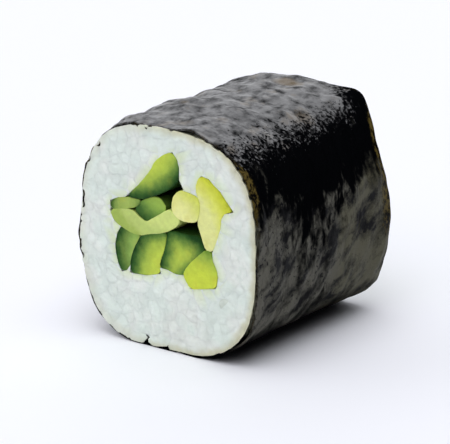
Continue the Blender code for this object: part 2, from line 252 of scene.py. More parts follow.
class Graph:
    """A node tree that is written node by node."""

    def __init__(self, tree: bpy.types.NodeTree) -> None:
        """Takes the tree to write in."""
        self.tree = tree

    def node(
        self, kind: str, settings: Optional[dict[str, Any]] = None,
        values: Optional[dict[Any, Any]] = None, output: Any = 0,
    ) -> Wire:
        """Adds any node.

        Args:
            kind: The node's type.
            settings: Its settings, set first; stops is a list of (place, colour) for a ramp.
            values: Numbers, colours or wires for its inputs, by name or number.
            output: The output to give back, by name or number.

        Returns:
            The chosen output.
        """
        made = self.tree.nodes.new(kind)
        for name, value in (settings or {}).items():
            if name == "stops":
                ramp = made.color_ramp
                while len(ramp.elements) < len(value):
                    ramp.elements.new(1.0)
                for element, (place, colour) in zip(ramp.elements, value):
                    element.position = place
                    element.color = (*colour, 1.0)
            else:
                setattr(made, name, value)
        for name, value in (values or {}).items():
            if isinstance(value, Wire):
                self.tree.links.new(value.socket, made.inputs[name])
            else:
                made.inputs[name].default_value = value
        return Wire(self.tree, made.outputs[output])


class Paint(Graph):
    """One procedural material, built round a Principled BSDF."""

    def __init__(self, name: str, **constants: Any) -> None:
        """Starts a material.

        Args:
            name: The material's name.
            **constants: Values for the shader's sockets, with _ for a space.
        """
        self.material = bpy.data.materials.new(name)
        self.material.use_nodes = True
        super().__init__(self.material.node_tree)
        self.shader = self.tree.nodes["Principled BSDF"]
        for socket, value in constants.items():
            self.shader.inputs[socket.replace("_", " ")].default_value = value

    def place(self, stretch: Sequence[float] = (1.0, 1.0, 1.0)) -> Wire:
        """Object coordinates in millimetres, divided by a stretch along each axis.

        Args:
            stretch: How many times longer a pattern is along X, Y and Z.

        Returns:
            The coordinates.
        """
        spot = self.node("ShaderNodeTexCoord", output="Object")
        scale = [MM_PER_M / share for share in stretch]
        return self.node("ShaderNodeVectorMath", {"operation": "MULTIPLY"}, {0: spot, 1: scale})

    def axes(self, vector: Wire) -> tuple[Wire, Wire, Wire]:
        """The three parts of a vector."""
        split = self.node("ShaderNodeSeparateXYZ", None, {0: vector})
        return tuple(Wire(self.tree, part) for part in split.socket.node.outputs)

    def cloud(self, vector: Wire, size: float, detail: float = 2.0, rough: float = 0.5) -> Wire:
        """Soft noise from about 0 to 1, with spots of a size in mm and finer layers over them."""
        return self.node("ShaderNodeTexNoise", None, {
            "Vector": vector, "Scale": 1.0 / size, "Detail": detail, "Roughness": rough})

    def cells(self, vector: Wire, size: float) -> Wire:
        """Distance to the middle of the nearest cell, for cells of a size in mm."""
        return self.node(
            "ShaderNodeTexVoronoi", None, {"Vector": vector, "Scale": 1.0 / size}, "Distance")

    def mix(self, share: Any, one: Any, other: Any, blend: str = "MIX") -> Wire:
        """Mixes two colours.

        Args:
            share: How much of the other shows, a wire or a number.
            one: The colour at share 0, a wire or red, green and blue.
            other: The colour at share 1.
            blend: The way of mixing.

        Returns:
            The mixed colour.
        """
        def full(colour: Any) -> Any:
            """The colour with its opacity, or a wire as it is."""
            return colour if isinstance(colour, Wire) else (*colour, 1.0)

        return self.node("ShaderNodeMix", {"data_type": "RGBA", "blend_type": blend}, {
            0: share, 6: full(one), 7: full(other)}, 2)

    def shaded(self, colour: Wire, shade: Wire) -> Wire:
        """Multiplies a colour by a shade, a number."""
        grey = self.node("ShaderNodeCombineXYZ", None, {0: shade, 1: shade, 2: shade})
        return self.mix(1.0, colour, grey, "MULTIPLY")

    def ramp(self, value: Wire, stops: Sequence[tuple[float, Colour]]) -> Wire:
        """Turns a number from 0 to 1 into a colour by its stops."""
        return self.node("ShaderNodeValToRGB", {"stops": stops}, {0: value})

    def attribute(self, name: str) -> Wire:
        """A number that the piece carries at its points."""
        return self.node("ShaderNodeAttribute", {"attribute_name": name}, None, "Fac")

    def feed(self, socket: str, value: Wire) -> None:
        """Links a wire to one of the shader's sockets."""
        self.tree.links.new(value.socket, self.shader.inputs[socket])

    def relief(self, *layers: tuple[Wire, float]) -> None:
        """Bumps the surface.

        Args:
            *layers: Pairs of a height from 0 to 1 and its depth in millimetres.
        """
        total = layers[0][0] * layers[0][1]
        for height, depth in layers[1:]:
            total = total + height * depth
        normal = self.node("ShaderNodeBump", None, {
            "Strength": 1.0, "Distance": MM, "Height": total})
        self.feed("Normal", normal)


@dataclass(frozen=True)
class Swell:
    """A place where the hand-pressed roll swells, or is pinched if the rise is negative.

    degrees and spread are measured round the section, along and reach are shares of the roll's
    length, and rise is in mm.
    """

    degrees: float
    spread: float
    along: float
    reach: float
    rise: float

    def at(self, angle: float, along: float) -> float:
        """How far this swell moves the wall, in mm.

        Args:
            angle: The angle round the section, in radians.
            along: The place along the roll, 0 at the shown cut and 1 at the far one.

        Returns:
            The rise there.
        """
        turn = (math.degrees(angle) - self.degrees + 180.0) % 360.0 - 180.0
        fade = (turn / self.spread) ** 2 + ((along - self.along) / self.reach) ** 2
        return self.rise * math.exp(-fade)


@dataclass(frozen=True)
class RollForm:
    """The pressed section that the sheet and the rice share, in mm."""

    width: float = 37.8
    height: float = 40.2
    length: float = 39.6
    squareness: float = 2.8
    underside_flat: float = 0.3
    swells: tuple[Swell, ...] = (
        Swell(122.0, 22.0, 0.30, 0.19, 0.7),
        Swell(124.0, 14.0, 0.85, 0.25, 0.4),
        Swell(146.0, 11.0, 0.0, 0.10, -0.3),
        Swell(31.0, 13.0, 1.0, 0.30, -1.2),
        Swell(59.0, 10.0, 1.0, 0.20, 0.9),
        Swell(10.0, 12.0, 1.0, 0.30, 0.3),
        Swell(-36.0, 18.0, 0.95, 0.30, 0.9),
        Swell(192.0, 11.0, 0.0, 0.30, 0.4),
        Swell(236.0, 15.0, 0.0, 0.30, 0.5),
    )

    @property
    def half_length(self) -> float:
        """Half the roll's length."""
        return self.length / 2

    @property
    def axis_height(self) -> float:
        """Height of the section's centre over the surface the roll rests on."""
        return self.height / 2 - self.underside_flat

    def section_radius(self, angle: float) -> float:
        """The rounded square's radius, before swells.

        Args:
            angle: The angle round the section from +X, in radians.

        Returns:
            The radius, in mm.
        """
        across = abs(math.cos(angle)) / (self.width / 2)
        up = abs(math.sin(angle)) / (self.height / 2)
        return (across**self.squareness + up**self.squareness) ** (-1.0 / self.squareness)

    def wall(self, angle: float, y: float, inset: float, relief: float = 0.0) -> Vector:
        """The wrapped wall's point, flat underneath.

        Args:
            angle: The angle round the section from +X, in radians.
            y: The place along the roll, in mm.
            inset: How far inside the outer surface, in mm.
            relief: How far wrinkles lift the point, in mm.

        Returns:
            The point, in mm.
        """
        along = y / self.length + 0.5
        radius = self.section_radius(angle) + relief - inset
        radius += sum(swell.at(angle, along) for swell in self.swells)
        if math.sin(angle) < 0:
            radius = min(radius, (self.axis_height - inset) / -math.sin(angle))
        return Vector((
            radius * math.cos(angle), y, self.axis_height + radius * math.sin(angle)))


@dataclass(frozen=True)
class SeaweedFinish:
    """Pressed dried seaweed: matte grey, a painted sheen on top, painted black shade in bands and
    hollows.

    Each turn is a span of the angle over the horizontal, in radians. Places along the roll are
    in mm from its middle. The bare numbers in make are the shares in which patterns are mixed.
    """

    black: Colour = (0.0018, 0.0020, 0.0026)
    # The matte grey that shows outside the painted shade.
    unshaded_grey: Colour = (0.122, 0.118, 0.096)
    faded: Colour = (0.110, 0.105, 0.072)
    # A painted sheen, mixed into the crown's colour.
    painted_sheen: Colour = (0.172, 0.172, 0.175)
    brown: Colour = (0.230, 0.180, 0.120)
    olive: Colour = (0.110, 0.080, 0.022)
    crown_turn: Span = (0.86, 1.04)
    crown_drop: Span = (13.0, 20.0)
    # Where the painted black band of shade lies.
    band_turn: Span = (0.16, 0.66)
    band_middle: float = -2.5
    band_reach: Span = (3.0, 12.0)
    # Where painted shade darkens the underside.
    foot_shade_turn: Span = (-0.95, -0.55)
    open_place: Span = (1.5, 6.5)
    open_lean: float = 30.0
    bruise_place: float = 15.6
    bruise_size: Span = (3.6, 1.7)
    olive_turns: tuple[Span, Span] = ((0.25, 0.55), (0.75, 0.95))
    edge_width: float = 0.7
    far_place: float = 17.4
    far_turns: tuple[Span, Span] = ((-0.35, -0.1), (0.3, 0.5))

    def make(self, form: RollForm) -> bpy.types.Material:
        """Builds the material.

        Args:
            form: The roll, whose corners carry the painted black bands of shade.

        Returns:
            The material.
        """
        paint = Paint(
            "seaweed", Metallic=0.0, IOR=1.45, Specular_IOR_Level=0.0, Coat_Roughness=0.3,
            Coat_IOR=1.5)
        spot = paint.place()
        x, y, z = paint.axes(spot)
        turn = (z - form.axis_height).turn_over(abs(x))
        grit = paint.cloud(spot, 0.42, 3.0, 0.65)
        pits = paint.cloud(spot, 0.6, 3.0, 0.6)
        waves = paint.cloud(spot, 2.2, 4.0, 0.6)
        blots = paint.cloud(paint.place((1.4, 1.0, 2.0)), 2.6, 5.0, 0.62)
        streaks = paint.cloud(paint.place((1.5, 1.0, 2.4)), 1.3, 3.0, 0.55)

        # The crown, whose border breaks up into specks and drops towards the far cut.
        specks = 1.1 - 0.35 * y.rise(-8.0, 8.0)
        border = turn + specks * (pits - 0.5) + 0.3 * (waves - 0.5)
        crown = (border - 0.26 * y.rise(*self.crown_drop)).rise(*self.crown_turn)

        # Painted shade: the black band under the crown, which runs down in streaks, furthest in
        # the middle.
        centre = 1.0 - abs(y - self.band_middle).rise(*self.band_reach)
        band_shade = 1.1 * turn.rise(*self.band_turn) + 0.5 * (centre * turn.rise(-0.2, 0.2))
        band_shade = band_shade + 2.6 * (blots - 0.5)
        band_shade = band_shade + (1.0 + 1.4 * turn.rise(-0.35, 0.15)) * (streaks - 0.5) + 0.08
        band_shade = band_shade - 0.3 * (-y).rise(7.0, 14.0)

        # Towards the far cut the side loses some of the painted band and turns a more olive grey.
        open_side = (y - self.open_lean * (turn - 0.1).highest(0.0)).rise(*self.open_place)
        band_shade = band_shade - 0.55 * open_side * (1.0 - turn.rise(0.45, 0.6))
        # Painted shade darkens the underside; the grey shows only outside the painted shade.
        unshaded_grey = (1.0 - band_shade.rise(-0.3, 0.7)) * turn.rise(*self.foot_shade_turn)
        slanted = paint.node("ShaderNodeCombineXYZ", None, {
            0: (0.8 * y + 0.6 * z) / 1.9, 1: 0.8 * z - 0.6 * y, 2: 0.5 * x})
        folds = paint.cloud(slanted, 2.6, 3.0, 0.5)
        # Painted shade of folds and pits darkens both sides.
        shade = (0.9 * grit + 2.4 * blots + 5.6 * folds - 3.6) * (1.0 - 0.24 * open_side)
        shade = shade - (0.9 - 0.6 * open_side) * pits.rise(0.56, 0.68)
        matte = paint.mix(open_side, self.unshaded_grey, self.faded)
        colour = paint.mix((unshaded_grey * shade).clamped(), self.black, matte)
        # A painted sheen lightens the crown in waves.
        colour = paint.mix((crown * (3.2 * waves - 0.8)).clamped(), colour, self.painted_sheen)

        # Brown patches on the crown, with one bruise near its far end.
        patches = paint.cloud(spot, 4.5, 3.0, 0.6).rise(0.56, 0.72)
        across = x / self.bruise_size[0] + 0.5 * (waves - 0.5)
        along = (y - self.bruise_place) / self.bruise_size[1] + 0.8 * (blots - 0.5)
        bruise = 1.0 - (across * across + along * along).root().rise(0.4, 1.15)
        colour = paint.mix((patches * 0.4 + bruise * 0.6) * crown, colour, self.brown)

        # Olive flecks along both cuts, widest beside the band, and down the far end, painted as
        # light shining through the sheet's thin edges.
        from_cut = form.half_length - abs(y) + 1.6 * (grit - 0.5)
        upper = turn.rise(*self.olive_turns[0]) * (1.0 - turn.rise(*self.olive_turns[1]))
        edge = 1.0 - (from_cut - 1.1 * upper).rise(0.0, self.edge_width)
        fleck = paint.cloud(paint.place((2.0, 1.0, 2.0)), 0.5, 3.0, 0.65).rise(0.42, 0.58)
        flecked = paint.mix(fleck * (0.2 + 0.8 * upper), self.black, self.olive)
        colour = paint.mix(edge * turn.rise(-1.0, -0.5), colour, flecked)
        far = (y - self.far_place + 2.0 * (pits - 0.5)).rise(0.0, 0.9)
        far = far * turn.rise(*self.far_turns[0]) * (1.0 - turn.rise(*self.far_turns[1]))
        colour = paint.mix(far * 0.8, colour, paint.mix(fleck, self.black, self.olive))
        paint.feed("Base Color", colour)

        # The crown shines in spots, the grey sides a little and the cut edges least.
        paint.feed("Roughness", 0.5 + 0.35 * paint.cloud(spot, 2.0, 3.0, 0.6))
        gloss = crown * (2.4 * waves - 0.7).highest(0.05) + (1.0 - crown) * 0.2 * unshaded_grey
        paint.feed("Coat Weight", (gloss * (0.4 + 1.2 * grit) * (1.0 - 0.7 * edge)).clamped())
        crinkle = paint.cloud(paint.place((1.5, 1.0, 2.2)), 1.6, 4.0, 0.6)
        ridges = paint.cloud(paint.place((1.0, 1.0, 4.0)), 1.2, 2.0, 0.45) * (1.0 - crown)
        paint.relief((crinkle, 0.65), (ridges, 0.55), (pits, 0.14), (grit, 0.10))
        return paint.material


@dataclass(frozen=True)
class RiceFinish:
    """Moist cooked rice: cool white, a little translucent, stained beside its neighbours.

    stain_from and stain_across say where the sheet's stain rises: over the share of the way out
    to the sheet, and over the place from left to right, in mm.
    """

    white: Colour = (0.800, 0.885, 0.805)
    warm: Colour = (0.855, 0.895, 0.825)
    glassy: Colour = (0.69, 0.76, 0.69)
    clear: Colour = (0.50, 0.545, 0.44)
    cream: Colour = (0.59, 0.57, 0.38)
    stained: Colour = (0.70, 0.80, 0.42)
    stain_from: Span = (0.89, 0.985)
    stain_across: Span = (-12.0, 4.0)

    def make(self, form: RollForm) -> bpy.types.Material:
        """Builds the material, which reads the tone and halo of each grain.

        Args:
            form: The roll, near whose sheet the rice is stained.

        Returns:
            The material.
        """
        paint = Paint(
            "rice", Metallic=0.0, IOR=1.4, Subsurface_Weight=0.3, Subsurface_Scale=0.0008,
            Subsurface_Radius=(1.0, 1.0, 0.9), Coat_Weight=0.15, Coat_Roughness=0.12)
        spot = paint.place()
        tone = paint.attribute("tone")
        clear = paint.cloud(spot, 2.3, 4.0, 0.6).rise(0.50, 0.72)
        milky = paint.mix(paint.cloud(spot, 7.0, 2.0, 0.5).rise(0.4, 0.6), self.white, self.warm)
        glassy = (0.6 * tone.rise(0.86, 1.0) + 0.7 * clear).clamped()
        colour = paint.mix(glassy, milky, self.glassy)
        colour = paint.mix(tone.rise(1.2, 1.8) * 0.4, colour, self.clear)
        shade = 0.75 + 0.32 * paint.cloud(spot, 2.3, 1.0, 0.4) + 0.11 * tone.lowest(1.0)
        colour = paint.shaded(colour, shade)
        x, _, z = paint.axes(spot)
        across, up = abs(x) / (form.width / 2), abs(z - form.axis_height) / (form.height / 2)
        shell = (across**form.squareness + up**form.squareness) ** (1.0 / form.squareness)
        ragged = 0.09 * (paint.cloud(spot, 1.9, 2.0, 0.5) - 0.5)
        soaked = 0.3 + 0.6 * x.rise(*self.stain_across)
        colour = paint.mix((shell + ragged).rise(*self.stain_from) * soaked, colour, self.cream)
        colour = paint.mix(paint.attribute("halo") * 0.8, colour, self.stained)
        paint.feed("Base Color", colour)
        wet = paint.cloud(spot, 0.9, 3.0, 0.6)
        paint.feed("Roughness", 0.55 - 0.35 * wet.rise(0.5, 0.7))
        paint.relief((paint.cloud(spot, 0.6, 2.0, 0.5), 0.05), (paint.cloud(spot, 1.6, 1.0), 0.3))
        return paint.material


@dataclass(frozen=True)
class SkinArc:
    """A stretch of cucumber skin, as the circle that it follows on the shown cut, in mm."""

    x: float
    z: float
    radius: float


SKIN_TO_FLESH: tuple[tuple[float, Colour], ...] = (
    (0.0, (0.012, 0.050, 0.010)),
    (0.7, (0.040, 0.115, 0.022)),
    (1.6, (0.145, 0.260, 0.048)),
    (2.8, (0.380, 0.510, 0.075)),
    (4.4, (0.530, 0.650, 0.085)),
)


@dataclass(frozen=True)
class CucumberFinish:
    """Wet cut cucumber, coloured by how deep each point lies under the skin; painted shade
    darkens its sides.

    lean is how far the skin's circles shift along X and Z from cut to cut, and ragged how far
    the layers' borders stray, both in mm.
    """

    name: str
    skins: tuple[SkinArc, ...]
    layers: tuple[tuple[float, Colour], ...] = SKIN_TO_FLESH
    # side is painted shade on the surfaces that don't face a cut; on skinned sticks it is also
    # their dark skin.
    side: Colour = (0.020, 0.060, 0.012)
    side_shade_share: float = 0.85
    ripe: Colour = (0.62, 0.55, 0.06)
    lean: Span = (0.9, -0.6)
    ragged: float = 1.9

    def make(self, form: RollForm) -> bpy.types.Material:
        """Builds the material.

        Args:
            form: The roll, whose length the sticks lean along.

        Returns:
            The material.
        """
        paint = Paint(
            self.name, Metallic=0.0, IOR=1.38, Specular_IOR_Level=0.07, Coat_Weight=0.02,
            Subsurface_Weight=0.12, Subsurface_Scale=0.0006, Subsurface_Radius=(0.8, 1.0, 0.35),
            Coat_Roughness=0.1)
        spot = paint.place()
        x, y, z = paint.axes(spot)
        along = y / form.length + 0.5
        depth = None
        for skin in self.skins:
            off_x = x - along * self.lean[0] - skin.x
            off_z = z - along * self.lean[1] - skin.z
            under = skin.radius - (off_x * off_x + off_z * off_z).root()
            depth = under if depth is None else depth.lowest(under)
        depth = depth + self.ragged * (paint.cloud(spot, 1.5, 4.0, 0.6) - 0.5)
        deepest = self.layers[-1][0]
        flesh = paint.ramp(
            (depth / deepest).clamped(), [(at / deepest, colour) for at, colour in self.layers])
        blotch = paint.cloud(paint.place((1.0, 8.0, 1.0)), 0.9, 3.0, 0.6)
        flesh = paint.shaded(flesh, 0.84 + 0.32 * blotch)
        ripe = paint.cloud(spot, 2.6, 2.0, 0.4).rise(0.5, 0.75)
        flesh = paint.mix(ripe * 0.3 * (depth / deepest).clamped(), flesh, self.ripe)
        # Painted shade: surfaces that don't face a cut take the side colour.
        facing = paint.axes(paint.node("ShaderNodeNewGeometry", output="Normal"))[1]
        cut = (facing * facing).rise(0.0, 0.06)
        paint.feed("Base Color", paint.mix((1.0 - cut) * self.side_shade_share, flesh, self.side))
        paint.feed("Roughness", 0.28 + 0.25 * paint.cloud(spot, 1.4, 3.0, 0.6))
        paint.relief((paint.cloud(spot, 0.9, 3.0, 0.6), 0.12), (paint.cells(spot, 0.5), 0.03))
        return paint.material


@dataclass(frozen=True)
class GroundFinish:
    """A plain pale table top."""

    pale: Colour = (0.888, 0.892, 0.940)
    cloudy: Colour = (0.88, 0.88, 0.92)
    cloud_size: float = 40.0

    def make(self) -> bpy.types.Material:
        """Builds the material.

        Returns:
            The material.
        """
        paint = Paint("pale_ground", Roughness=0.7, Specular_IOR_Level=0.2)
        shade = paint.cloud(paint.place(), self.cloud_size, 1.0)
        paint.feed("Base Color", paint.mix(shade * 0.02, self.pale, self.cloudy))
        return paint.material


@dataclass
class SeaweedSheet:
    """The seaweed: one sheet wrapped round the rice, lapping over itself underneath.

    proud_spots are places in degrees, spreads and heights in mm, where the sheet stands out of
    the shown cut and curls in over the rice. The wave sizes are along X, Y and Z.
    """

    form: RollForm
    finish: SeaweedFinish
    thickness: float = 0.3
    fit_gap: float = 0.3
    inner_end: float = math.radians(257.0)
    lap: float = math.radians(18.0)
    lap_step: float = math.radians(4.5)
    swells: tuple[Swell, ...] = (
        Swell(57.0, 10.0, 1.0, 0.12, 0.9), Swell(18.0, 10.0, 1.0, 0.15, -0.15))
    turned_tip: float = math.radians(2.6)
    tip_rise: float = 0.9
    steps_round: int = 420
    steps_along: int = 104
    edge_setback: float = 0.22
    left_setback: float = 0.1
    left_turn: Span = (0.2, -0.6)
    edge_waver: float = 0.16
    edge_waves: Span = (5.0, 1.6)
    edge_shift: float = 3.7
    furthest_out: float = 0.08
    proud_spots: tuple[Triple, ...] = (
        (134.6, 2.4, 0.38), (145.2, 3.2, 0.38), (164.0, 3.4, 0.38), (170.0, 3.0, 0.38),
        (191.0, 3.0, 0.36), (198.0, 3.2, 0.38), (107.6, 1.4, 0.32), (102.5, 1.4, 0.30))
    curl: float = 2.1
    curl_width: float = 0.8
    ripple: float = 0.58
    ripple_waves: Triple = (6.5, 2.7, 9.0)
    crease: float = 0.26
    crease_waves: Triple = (3.6, 1.6, 5.0)
    bulge: float = 0.5
    bulge_waves: Triple = (4.4, 4.4, 4.4)
    crease_sharpness: float = 2.2
    slant: float = 0.35
    slant_across: Span = (0.0, 15.0)
    shallow: float = 0.35
    deepest: float = 0.12
    free_height: Span = (1.2, 6.0)

    def lap_inset(self, angle: float) -> float:
        """Extra inset of the inner layer under the lap, in mm.

        Args:
            angle: The angle along the sheet, in radians.

        Returns:
            The inset.
        """
        past = angle - self.inner_end
        if past > math.pi:
            return 0.0
        eased = 1.0 - smooth_step(self.lap, self.lap + self.lap_step, past)
        tip = 1.0 - smooth_step(0.0, self.turned_tip, past)
        return (self.thickness + self.fit_gap) * eased + self.tip_rise * tip

    def relief(self, angle: float, y: float) -> float:
        """Height of the wrinkles over the smooth wall.

        Args:
            angle: The angle round the section, in radians.
            y: The place along the roll, in mm.

        Returns:
            The height, in mm.
        """
        radius = self.form.section_radius(angle)
        x, z = radius * math.cos(angle), radius * math.sin(angle)
        low, high = (height - self.form.axis_height for height in self.free_height)
        free = smooth_step(low, high, z)
        slanted = y + self.slant * max(0.0, -z) * smooth_step(*self.slant_across, x)
        ripples = noise_at((x, slanted, z), self.ripple_waves, (0.0, 0.0, 0.0))
        folds = noise_at((x, slanted, z), self.crease_waves, (7.0, 0.0, 0.0))
        grains = noise_at((x, y, z), self.bulge_waves, (0.0, 3.0, 0.0))
        ridge = 1.0 - self.crease_sharpness * abs(folds)
        height = self.ripple * ripples + self.crease * ridge * 0.5 + self.bulge * grains
        return free * max(height, self.shallow * height - self.deepest)

    def edge(self, angle: float, side: float) -> float:
        """Where the sheet ends at one cut, from the middle of the roll.

        Args:
            angle: The angle round the section, in radians.
            side: -1 for the shown cut and 1 for the far one.

        Returns:
            The distance, in mm.
        """
        radius = self.form.section_radius(angle)
        shift = side * self.edge_shift
        spot = Vector((radius * math.cos(angle), shift, radius * math.sin(angle)))
        left = smooth_step(*self.left_turn, math.cos(angle)) if side < 0 else 0.5
        coarse, fine = self.edge_waves
        waver = noise.noise(spot / coarse) + 0.5 * noise.noise(spot / fine)
        setback = self.edge_setback + self.left_setback * left - self.edge_waver * waver
        if side < 0:
            setback -= self.proudness(angle)
        return self.form.half_length - max(setback, -self.furthest_out)

    def proudness(self, angle: float) -> float:
        """How far the sheet stands out of the shown cut, in mm.

        Args:
            angle: The angle round the section, in radians.

        Returns:
            The height, which is none except at a few spots.
        """
        turn = math.degrees(angle) % 360.0
        return sum(rise * math.exp(-((turn - place) / spread) ** 2)
                   for place, spread, rise in self.proud_spots)

    def build(self) -> bpy.types.Object:
        """Wraps a fine grid round the section and gives it its thickness.

        Returns:
            The sheet.
        """
        deselect_all()
        bpy.ops.mesh.primitive_grid_add(
            x_subdivisions=self.steps_round, y_subdivisions=self.steps_along, size=2.0,
            calc_uvs=True)
        sheet = bpy.context.object
        sheet.name = "seaweed_sheet"
        turn = math.tau + self.lap
        for vert in sheet.data.vertices:
            angle = self.inner_end + turn * (vert.co.x + 1.0) / 2.0
            side = -1.0 if vert.co.y < 0 else 1.0
            y = abs(vert.co.y) * side * self.edge(angle, side)
            along = y / self.form.length + 0.5
            swell = sum(place.at(angle, along) for place in self.swells)
            inset = self.thickness / 2 + self.lap_inset(angle) - swell
            near_cut = smooth_step(self.curl_width, 0.0, self.form.half_length + y)
            inset += self.curl * self.proudness(angle) * near_cut
            vert.co = self.form.wall(angle, y, inset, self.relief(angle, y)) * MM
        make_active(sheet)
        with editing():
            bpy.ops.mesh.normals_make_consistent(inside=False)
        apply_modifier(sheet, "SOLIDIFY", thickness=self.thickness * MM, offset=0.0)
        bpy.ops.object.shade_smooth()
        sheet.data.materials.append(self.finish.make(self.form))
        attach(sheet, "root")
        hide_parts("nori_sheet")
        return sheet


@dataclass
class CucumberStick:
    """One stick of cucumber, softened and dented from its plain bar."""

    node: str
    finish: CucumberFinish
    slot: str = "cucumber_skin"
    fineness: float = 0.2
    dent: float = 0.2
    dent_size: float = 2.2
    swell: float = 0.42
    softness: float = 0.5
    soft_passes: int = 3

    def build(self, form: RollForm) -> bpy.types.Object:
        """Copies the node, softens its edges and dents it.

        Args:
            form: The roll that the stick runs through.

        Returns:
            The stick, pressed against its neighbours but no longer than its node.
        """
        stick = merged_copy(self.node, self.node.replace("cucumber_", "stick_"))
        apply_modifier(stick, "DISPLACE", strength=self.swell * MM, mid_level=0.0)
        apply_modifier(stick, "REMESH", mode="VOXEL", voxel_size=self.fineness * MM)
        apply_modifier(stick, "SMOOTH", factor=self.softness, iterations=self.soft_passes)
        dents = bpy.data.textures.new("dents", "CLOUDS")
        dents.noise_scale = self.dent_size * MM
        apply_modifier(
            stick, "DISPLACE", texture=dents, texture_coords="LOCAL", strength=self.dent * MM)
        bpy.ops.object.shade_smooth()
        low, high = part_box(self.node)
        for vert in stick.data.vertices:
            vert.co.y = min(high[1], max(low[1], vert.co.y))
        stick.data.materials.append(self.finish.make(form))
        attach(stick, "root")
        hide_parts(self.node)
        return stick


class GrainCut(Enum):
    """How the knife met a grain: half the length of its middle line, in mm."""

    LENGTHWISE = 1.3
    SLANTED = 0.7
    ACROSS = 0.06


@dataclass
class CutGrain:
    """One grain at a cut: its middle line on the cut plane, in mm."""

    centre: Vector
    along: Vector
    half_line: float

    def gap_to(self, spot: Vector) -> float:
        """Distance from the middle line to a point of the cut plane.

        Args:
            spot: The point, in mm.

        Returns:
            The distance, in mm.
        """
        away = spot - self.centre
        share = max(-self.half_line, min(self.half_line, away.dot(self.along)))
        return (away - self.along * share).length

    def spots(self, count: int = 5) -> list[Vector]:
        """Points spread along the middle line."""
        steps = (2.0 * step / (count - 1) - 1.0 for step in range(count))
        return [self.centre + self.along * self.half_line * step for step in steps]


